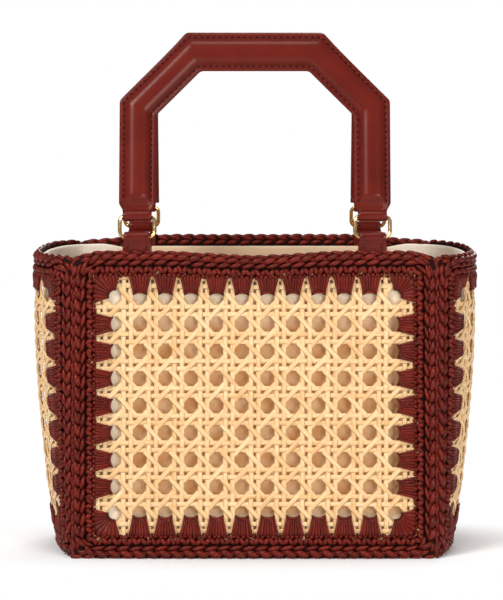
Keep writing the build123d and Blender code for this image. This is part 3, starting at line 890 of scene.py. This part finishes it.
def handle_place(side):
    """The function that carries across, up and out of a handle's plane to its place at rest.

    It lets the top and the corners down a little: 1.1 (1 - e^(-d/6)) + 0.022 d, with d the way
    below the top, from nothing at the rings.
    """
    base_out = PIVOT_OUT - RING_HEIGHT * np.sin(HANDLE_LEAN)
    base_up = PIVOT_HEIGHT + RING_HEIGHT * np.cos(HANDLE_LEAN)

    def place(across, up, out):
        """A point of the handle's plane at rest, which leans in from the ring's upper bar."""
        depth = np.clip(HANDLE_RISE - up, 0, None)
        lowered = up - (1.1 - 1.1 * np.exp(-depth / 6) + 0.022 * depth) * smooth((up - 12) / 40)
        return leaning(side, across, lowered, out, HANDLE_LEAN, base_out, base_up)

    return place


def handle_shell(place):
    """The two leathers as one closed surface: lanes along the octagon, raised by the padding.

    The legs narrow to the width of their loops, and the padding dies away there.
    """
    half = STRAP_WIDTH / 2
    spacing = np.linspace(-1, 1, 45)
    lanes = half * np.sign(spacing) * (1 - (1 - np.abs(spacing)) ** 1.4)
    line = handle_stations(lanes, 2.2)
    leg = np.abs(line[..., 0]) > RING_SPACING / 2 - half
    from_end = np.where(leg, line[..., 1] - STRAP_START, 50)
    narrow = smooth(1 - (from_end + 4.6) / 4.6)
    centre = np.sign(line[..., 0]) * RING_SPACING / 2
    width = 1 - (1 - HANDLE_LOOP / STRAP_WIDTH) * narrow
    line[..., 0] = np.where(leg, centre + (line[..., 0] - centre) * width, line[..., 0])
    rise = smooth((from_end + 2.0) / 5.0)
    thick = padding(lanes[:, None], rise)
    front = np.stack([line[..., 0], line[..., 1], thick], -1)
    back = np.stack([line[..., 0], line[..., 1], -thick], -1)[::-1]
    shell = np.concatenate([front, back[1:-1]], 0)
    shell = np.moveaxis(shell, 0, 1)[None]
    points = place(shell[..., 0], shell[..., 1], shell[..., 2])
    across = np.concatenate([lanes, lanes[::-1][1:-1]])
    stations = shell.shape[1]
    middle = len(lanes) // 2
    step = np.linalg.norm(np.diff(line[middle], axis=0), axis=1)
    along = np.concatenate([[0], np.cumsum(step)])
    marks = stack(across[None, None] / 10, along[None, :, None] / 10, np.zeros((1, stations, len(across))))
    batch = Batch()
    batch.add(points, marks)
    return batch


def handle_threads(place):
    """The lines of thread along both edges of both faces."""
    threads = Batch()
    for offset in (STRAP_WIDTH / 2 - THREAD_INSET, THREAD_INSET - STRAP_WIDTH / 2):
        track = handle_stations(np.array([offset]), STRAP_START + 0.4, 30)[0]
        step = np.linalg.norm(np.diff(track, axis=0), axis=1)
        gone = np.concatenate([[0], np.cumsum(step)])
        count = round(gone[-1] / THREAD_PITCH)
        at = (np.arange(count) + 0.5) * gone[-1] / count
        x, y = np.interp(at, gone, track[:, 0]), np.interp(at, gone, track[:, 1])
        ahead = np.interp(at + 0.4, gone, track[:, 0]) - np.interp(at - 0.4, gone, track[:, 0])
        upward = np.interp(at + 0.4, gone, track[:, 1]) - np.interp(at - 0.4, gone, track[:, 1])
        height = padding(offset, 1.0)
        turn = np.arctan2(ahead, upward)
        for face in (-1, 1):
            stitches(threads, place, x, y, np.full(count, face * height), turn, THREAD_PITCH)
    return threads


def strap_loop(batch, hand, place):
    """The handle's end folded round the ring's upper bar: a closed band of leather."""
    arc = np.linspace(0, 2 * np.pi, 33)[:-1]
    normal = np.stack([np.cos(arc), np.sin(arc)], -1)
    edge, face = oblong(0.35, 0.8)
    radius = LOOP_RADIUS + face[None, :, None] * LEATHER / 2
    line = normal[:, None] * radius
    across = hand * RING_SPACING / 2 + edge[None] * HANDLE_LOOP / 2
    points = place(across, line[..., 1], line[..., 0])
    batch.add(points[None], stack(edge[None] * 0.6, arc[:, None], 0.0)[None], closed=True)


def handle(side, word):
    """The padded handle: two leathers over a firm core, mitred at the octagon's corners."""
    place = handle_place(side)
    batch = handle_shell(place)
    for hand in (-1, 1):
        strap_loop(batch, hand, place)
    body = f"{word}_handle"
    nodes = (f"{body}_cover", f"{body}_backing", f"{body}_core")
    piece = batch.piece(f"{body}_leather", body, "leather", leather_look(), nodes)
    handle_threads(place).piece(f"{body}_thread", body, "leather", thread_look())


def ring(side, hand, word):
    """A rounded rectangle of round wire, in the plane of the handle.

    The wire's middle line is a quarter circle at each corner of a smaller rectangle, and the
    faces run straight from one corner to the next.
    """
    middle = hand * RING_SPACING / 2
    turn = np.linspace(0, np.pi / 2, 11)
    across, up = RING_WIDTH / 2 - RING_CORNER, RING_HEIGHT / 2 - RING_CORNER
    quarters = []
    for k, (right, top) in enumerate(((1, 1), (-1, 1), (-1, -1), (1, -1))):
        spun = turn + k * np.pi / 2
        way = np.stack([np.cos(spun), np.sin(spun)], -1)
        quarters.append(np.concatenate([way, way * 0 + [right * across, top * up]], -1))
    run = np.concatenate(quarters)
    way, base = run[:, :2], run[:, 2:]
    section = oval(12) * RING_WIRE / 2
    flat = base[:, None] + way[:, None] * (RING_CORNER + section[None, :, 0, None])
    out = np.broadcast_to(section[None, :, 1], flat.shape[:2])
    points = leaning(
        side, flat[..., 0] - side * middle, flat[..., 1] + RING_HEIGHT / 2, out, HANDLE_LEAN,
        PIVOT_OUT, PIVOT_HEIGHT,
    )
    batch = Batch()
    batch.add(points[None], points[None] / 10, closed=True)
    name = handed(word, hand) + "_ring"
    batch.piece(f"{name}_wire", f"{word}_rings", "gold_wire", gold_look(), (name,))


# Materials

LOOKS = {}


def look(name):
    """A new material and what its shader is built with."""
    material = bpy.data.materials.new(name)
    material.use_nodes = True
    nodes, links = material.node_tree.nodes, material.node_tree.links
    return material, nodes, links, nodes["Principled BSDF"]


def colour(red, green, blue):
    """A colour as it is seen on a screen (0 to 255), in the renderer's linear light."""
    seen = np.array([red, green, blue]) / 255
    linear = np.where(seen < 0.04045, seen / 12.92, ((seen + 0.055) / 1.055) ** 2.4)
    return (*linear, 1.0)


def kept(make):
    """Each material is made once and then reused."""

    def once():
        """The material, made at the first call."""
        if make.__name__ not in LOOKS:
            LOOKS[make.__name__] = make()
        return LOOKS[make.__name__]

    return once


def node(nodes, kind, **values):
    """A shader node with its properties and input values set by name."""
    made = nodes.new(kind)
    for key, value in values.items():
        if key in made.inputs:
            made.inputs[key].default_value = value
        else:
            setattr(made, key, value)
    return made


def ramp(nodes, links, factor, stops):
    """A colour ramp over a factor: pairs of position and colour."""
    made = nodes.new("ShaderNodeValToRGB")
    while len(made.color_ramp.elements) < len(stops):
        made.color_ramp.elements.new(0.5)
    for element, (position, value) in zip(made.color_ramp.elements, stops):
        element.position = position
        element.color = value
    links.new(factor, made.inputs["Fac"])
    return made.outputs["Color"]


def halved(nodes, links, value):
    """Half of a value."""
    half = node(nodes, "ShaderNodeMath", operation="MULTIPLY")
    half.inputs[1].default_value = 0.5
    links.new(value, half.inputs[0])
    return half.outputs[0]


@kept
def cane_look():
    """Split cane: straw colour with fine streaks along each strand.

    The mark's numbers are the place across the strand, the way along it and the strand's tone.
    """
    material, nodes, links, shader = look("split_cane")
    mark = node(nodes, "ShaderNodeAttribute", attribute_name="mark")
    parts = node(nodes, "ShaderNodeSeparateXYZ")
    links.new(mark.outputs["Vector"], parts.inputs[0])
    stretched = node(nodes, "ShaderNodeMapping", Scale=(2.2, 0.35, 9.0))
    links.new(mark.outputs["Vector"], stretched.inputs["Vector"])
    streaks = node(nodes, "ShaderNodeTexNoise", Scale=3.0, Detail=4.0, Roughness=0.6)
    links.new(stretched.outputs[0], streaks.inputs["Vector"])
    patches = node(nodes, "ShaderNodeTexNoise", Scale=0.9, Detail=2.0)
    links.new(mark.outputs["Vector"], patches.inputs["Vector"])
    tone = node(nodes, "ShaderNodeMath", operation="MULTIPLY_ADD")
    tone.inputs[1].default_value = 0.30
    links.new(parts.outputs["Z"], tone.inputs[0])
    links.new(streaks.outputs["Fac"], tone.inputs[2])
    mixed = node(nodes, "ShaderNodeMath", operation="ADD")
    links.new(tone.outputs[0], mixed.inputs[0])
    links.new(patches.outputs["Fac"], mixed.inputs[1])
    base = ramp(nodes, links, halved(nodes, links, mixed.outputs[0]), [
        (0.3, colour(206, 147, 86)), (0.5, colour(233, 187, 130)),
        (0.66, colour(242, 204, 152)), (0.85, colour(249, 222, 178)),
    ])
    links.new(base, shader.inputs["Base Color"])
    shader.inputs["Roughness"].default_value = 0.42
    bump = node(nodes, "ShaderNodeBump", Strength=0.25, Distance=0.0003)
    links.new(streaks.outputs["Fac"], bump.inputs["Height"])
    links.new(bump.outputs[0], shader.inputs["Normal"])
    return material


@kept
def crochet_look():
    """Waxed cord: oxblood with a soft shine and fine fibres.

    The mark's first number is the stitch's own tone, and the second runs from 0 to 1 along the
    stitch, which is duller and darkened with painted shade where it dips under its neighbours.
    """
    material, nodes, links, shader = look("oxblood_cord")
    mark = node(nodes, "ShaderNodeAttribute", attribute_name="mark")
    parts = node(nodes, "ShaderNodeSeparateXYZ")
    links.new(mark.outputs["Vector"], parts.inputs[0])
    place = node(nodes, "ShaderNodeTexCoord")
    fibres = node(nodes, "ShaderNodeTexNoise", Scale=900.0, Detail=3.0, Roughness=0.6)
    links.new(place.outputs["Object"], fibres.inputs["Vector"])
    mixed = node(nodes, "ShaderNodeMath", operation="ADD")
    links.new(parts.outputs["X"], mixed.inputs[0])
    links.new(fibres.outputs["Fac"], mixed.inputs[1])
    base = ramp(nodes, links, halved(nodes, links, mixed.outputs[0]), [
        (0.2, colour(84, 16, 9)), (0.5, colour(98, 21, 12)), (0.8, colour(114, 29, 18)),
    ])
    # Painted shade: the colour falls to 0.12 at both ends of each stitch, and on the strip whose marks are
    # zero.
    ends = node(nodes, "ShaderNodeFloatCurve")
    curve = ends.mapping.curves[0]
    curve.points[0].location, curve.points[1].location = (0.0, 0.12), (1.0, 0.12)
    curve.points.new(0.3, 1.0)
    curve.points.new(0.75, 1.0)
    ends.mapping.update()
    links.new(parts.outputs["Y"], ends.inputs["Value"])
    dip_shaded_colour = node(nodes, "ShaderNodeVectorMath", operation="SCALE")
    links.new(base, dip_shaded_colour.inputs[0])
    links.new(ends.outputs[0], dip_shaded_colour.inputs["Scale"])
    links.new(dip_shaded_colour.outputs[0], shader.inputs["Base Color"])
    dull = node(nodes, "ShaderNodeMapRange")
    dull.inputs["To Min"].default_value = 0.95
    dull.inputs["To Max"].default_value = 0.36
    links.new(ends.outputs[0], dull.inputs["Value"])
    links.new(dull.outputs[0], shader.inputs["Roughness"])
    shader.inputs["Specular IOR Level"].default_value = 0.25
    shader.inputs["Specular Tint"].default_value = (1.0, 0.86, 0.76, 1)
    bump = node(nodes, "ShaderNodeBump", Strength=0.3, Distance=0.0003)
    links.new(fibres.outputs["Fac"], bump.inputs["Height"])
    links.new(bump.outputs[0], shader.inputs["Normal"])
    return material


@kept
def leather_look():
    """Smooth oxblood leather with a fine grain and a soft shine."""
    material, nodes, links, shader = look("oxblood_leather")
    place = node(nodes, "ShaderNodeTexCoord")
    grain = node(nodes, "ShaderNodeTexVoronoi", Scale=1600.0)
    links.new(place.outputs["Object"], grain.inputs["Vector"])
    clouds = node(nodes, "ShaderNodeTexNoise", Scale=60.0, Detail=3.0)
    links.new(place.outputs["Object"], clouds.inputs["Vector"])
    base = ramp(nodes, links, clouds.outputs["Fac"], [
        (0.3, colour(90, 21, 13)), (0.7, colour(104, 27, 17)),
    ])
    links.new(base, shader.inputs["Base Color"])
    shader.inputs["Roughness"].default_value = 0.3
    shader.inputs["Specular IOR Level"].default_value = 0.24
    shader.inputs["Specular Tint"].default_value = (1.0, 0.9, 0.84, 1)
    bump = node(nodes, "ShaderNodeBump", Strength=0.12, Distance=0.0002)
    links.new(grain.outputs["Distance"], bump.inputs["Height"])
    links.new(bump.outputs[0], shader.inputs["Normal"])
    return material


@kept
def thread_look():
    """Oxblood thread, and near black as painted shade on the tubes over the holes it is sewn through."""
    material, nodes, links, shader = look("oxblood_thread")
    mark = node(nodes, "ShaderNodeAttribute", attribute_name="mark")
    parts = node(nodes, "ShaderNodeSeparateXYZ")
    links.new(mark.outputs["Vector"], parts.inputs[0])
    place = node(nodes, "ShaderNodeTexCoord")
    fibres = node(nodes, "ShaderNodeTexNoise", Scale=2500.0)
    links.new(place.outputs["Object"], fibres.inputs["Vector"])
    thread = ramp(nodes, links, fibres.outputs["Fac"], [
        (0.3, colour(104, 30, 24)), (0.7, colour(126, 44, 36)),
    ])
    either = node(nodes, "ShaderNodeMix", data_type="RGBA")
    links.new(parts.outputs["X"], either.inputs["Factor"])
    links.new(thread, either.inputs[6])
    # Painted shade: the tubes over the holes are near black.
    either.inputs[7].default_value = colour(34, 5, 4)
    links.new(either.outputs[2], shader.inputs["Base Color"])
    shader.inputs["Roughness"].default_value = 0.6
    shader.inputs["Specular IOR Level"].default_value = 0.2
    return material


@kept
def gold_look():
    """Polished gold plate with the faintest brushing."""
    material, nodes, links, shader = look("gold_plate")
    place = node(nodes, "ShaderNodeTexCoord")
    haze = node(nodes, "ShaderNodeTexNoise", Scale=300.0, Detail=2.0)
    links.new(place.outputs["Object"], haze.inputs["Vector"])
    base = ramp(nodes, links, haze.outputs["Fac"], [
        (0.3, colour(222, 174, 108)), (0.7, colour(238, 202, 142)),
    ])
    links.new(base, shader.inputs["Base Color"])
    shader.inputs["Metallic"].default_value = 1.0
    rough = node(nodes, "ShaderNodeMapRange")
    rough.inputs["To Min"].default_value = 0.14
    rough.inputs["To Max"].default_value = 0.26
    links.new(haze.outputs["Fac"], rough.inputs["Value"])
    links.new(rough.outputs[0], shader.inputs["Roughness"])
    return material


@kept
def lining_look():
    """Off-white plain cloth of two sets of threads; its outside is warmer with painted warm light from
    the cane, and tan with painted shade behind the cane.

    The mark's first number is 1 on the outside, the second says how deep behind the cane, and the
    third is 1 inside below the hem, where the cloth is painted tan for the warm light of the cane.
    """
    material, nodes, links, shader = look("plain_cloth")
    place = node(nodes, "ShaderNodeTexCoord")
    waves = []
    for direction in ("X", "Z"):
        wave = node(nodes, "ShaderNodeTexWave", Scale=420.0, Distortion=0.6, bands_direction=direction)
        links.new(place.outputs["Object"], wave.inputs["Vector"])
        waves.append(wave.outputs["Fac"])
    woven = node(nodes, "ShaderNodeMath", operation="MULTIPLY")
    links.new(waves[0], woven.inputs[0])
    links.new(waves[1], woven.inputs[1])
    base = ramp(nodes, links, woven.outputs[0], [
        (0.0, colour(234, 220, 200)), (1.0, colour(250, 241, 226)),
    ])
    mark = node(nodes, "ShaderNodeAttribute", attribute_name="mark")
    parts = node(nodes, "ShaderNodeSeparateXYZ")
    links.new(mark.outputs["Vector"], parts.inputs[0])
    spots = node(nodes, "ShaderNodeTexNoise", Scale=110.0, Detail=1.0)
    links.new(place.outputs["Object"], spots.inputs["Vector"])
    # Painted shade and warm light from the cane: tan on the outside, deep behind the cane.
    painted_cane_shade = ramp(nodes, links, spots.outputs["Fac"], [
        (0.35, colour(220, 164, 106)), (0.65, colour(238, 198, 150)),
    ])
    outside = node(nodes, "ShaderNodeMix", data_type="RGBA")
    links.new(parts.outputs["Y"], outside.inputs["Factor"])
    # Painted warm light from the cane on the rest of the outside.
    outside.inputs[6].default_value = colour(254, 236, 208)
    links.new(painted_cane_shade, outside.inputs[7])
    either = node(nodes, "ShaderNodeMix", data_type="RGBA")
    links.new(parts.outputs["X"], either.inputs["Factor"])
    inside = node(nodes, "ShaderNodeMix", data_type="RGBA")
    links.new(parts.outputs["Z"], inside.inputs["Factor"])
    links.new(base, inside.inputs[6])
    # Painted warm light from the cane: tan inside below the hem.
    inside.inputs[7].default_value = colour(228, 197, 163)
    links.new(inside.outputs[2], either.inputs[6])
    links.new(outside.outputs[2], either.inputs[7])
    links.new(either.outputs[2], shader.inputs["Base Color"])
    shader.inputs["Roughness"].default_value = 0.85
    shader.inputs["Specular IOR Level"].default_value = 0.2
    bump = node(nodes, "ShaderNodeBump", Strength=0.2, Distance=0.0002)
    links.new(woven.outputs[0], bump.inputs["Height"])
    links.new(bump.outputs[0], shader.inputs["Normal"])
    return material


# Stage


def floor():
    """A wide white floor that keeps the bag's shadow, and that is plain white further off.

    It throws a little less light back on the bag than the camera sees of it.
    """
    mesh = bpy.data.meshes.new("floor")
    mesh.from_pydata([(-4, -4, 0), (4, -4, 0), (4, 6, 0), (-4, 6, 0)], [], [(0, 1, 2, 3)])
    obj = bpy.data.objects.new("floor", mesh)
    bpy.context.scene.collection.objects.link(obj)
    material, nodes, links, shader = look("white_floor")
    shader.inputs["Roughness"].default_value = 0.8
    shader.inputs["Specular IOR Level"].default_value = 0.0
    place = node(nodes, "ShaderNodeTexCoord")
    narrowed = node(nodes, "ShaderNodeMapping", Scale=(0.45, 1.0, 1.0))
    links.new(place.outputs["Object"], narrowed.inputs["Vector"])
    distance = node(nodes, "ShaderNodeVectorMath", operation="LENGTH")
    links.new(narrowed.outputs[0], distance.inputs[0])
    far = node(nodes, "ShaderNodeMapRange", interpolation_type="SMOOTHSTEP")
    far.inputs["From Min"].default_value = 0.045
    far.inputs["From Max"].default_value = 0.085
    links.new(distance.outputs["Value"], far.inputs["Value"])
    rays = node(nodes, "ShaderNodeLightPath")
    pale = node(nodes, "ShaderNodeMix", data_type="RGBA")
    pale.inputs[6].default_value = (0.9, 0.89, 0.88, 1)
    pale.inputs[7].default_value = (0.96, 0.95, 0.945, 1)
    links.new(rays.outputs["Is Camera Ray"], pale.inputs["Factor"])
    links.new(pale.outputs[2], shader.inputs["Base Color"])
    seen = node(nodes, "ShaderNodeMath", operation="MULTIPLY")
    links.new(far.outputs[0], seen.inputs[0])
    links.new(rays.outputs["Is Camera Ray"], seen.inputs[1])
    white = node(nodes, "ShaderNodeEmission", Strength=1.0)
    mixed = node(nodes, "ShaderNodeMixShader")
    links.new(seen.outputs[0], mixed.inputs[0])
    links.new(shader.outputs[0], mixed.inputs[1])
    links.new(white.outputs[0], mixed.inputs[2])
    links.new(mixed.outputs[0], nodes["Material Output"].inputs["Surface"])
    mesh.materials.append(material)


def world():
    """Even pale light all round, and white where the camera looks past all."""
    made = bpy.data.worlds.new("studio")
    bpy.context.scene.world = made
    made.use_nodes = True
    nodes, links = made.node_tree.nodes, made.node_tree.links
    background = nodes["Background"]
    rays = nodes.new("ShaderNodeLightPath")
    strength = nodes.new("ShaderNodeMapRange")
    strength.inputs["To Min"].default_value = 0.26
    strength.inputs["To Max"].default_value = 1.0
    links.new(rays.outputs["Is Camera Ray"], strength.inputs["Value"])
    links.new(strength.outputs[0], background.inputs["Strength"])
    background.inputs["Color"].default_value = (1, 1, 1, 1)


def lamp(name, place, target, size, power):
    """A square soft lamp turned to a target."""
    data = bpy.data.lights.new(name, "AREA")
    data.shape = "SQUARE"
    data.size = size
    data.energy = power
    obj = bpy.data.objects.new(name, data)
    bpy.context.scene.collection.objects.link(obj)
    obj.location = place
    obj.rotation_euler = (Vector(target) - Vector(place)).to_track_quat("-Z", "Y").to_euler()


def camera():
    """The photo's view: far off, a little above, looking slightly down on the front wall."""
    data = bpy.data.cameras.new("camera")
    obj = bpy.data.objects.new("camera", data)
    bpy.context.scene.collection.objects.link(obj)
    bpy.context.scene.camera = obj
    distance, height, pitch, aim = 1.674, 0.300, 5.914, -0.0017
    data.lens = 196.8
    data.clip_end = 50
    obj.location = (0, -distance, height)
    target = Vector((aim, 0, height - distance * np.tan(np.radians(pitch))))
    obj.rotation_euler = (target - obj.location).to_track_quat("-Z", "Y").to_euler()


for name, wall in WALLS.items():
    crochet_edge(name, wall)
    cane_panel(name, wall)
cloth_lining()
base_panel()
for side, word in ((-1, "front"), (1, "back")):
    handle(side, word)
    for hand in (-1, 1):
        tab(side, hand, word)
        ring(side, hand, word)

floor()
world()
lamp("key", (-1.0, -1.2, 1.5), (0, 0, 0.12), 0.6, 28)
lamp("fill", (1.0, -1.6, 0.3), (0, 0, 0.08), 0.7, 14.5)
lamp("top", (0, -0.4, 2.0), (0, 0, 0.1), 0.5, 6)
lamp("back", (0.5, 1.5, 1.0), (0, 0, 0.12), 1.0, 18)
camera()
bpy.context.scene.view_settings.view_transform = "Standard"
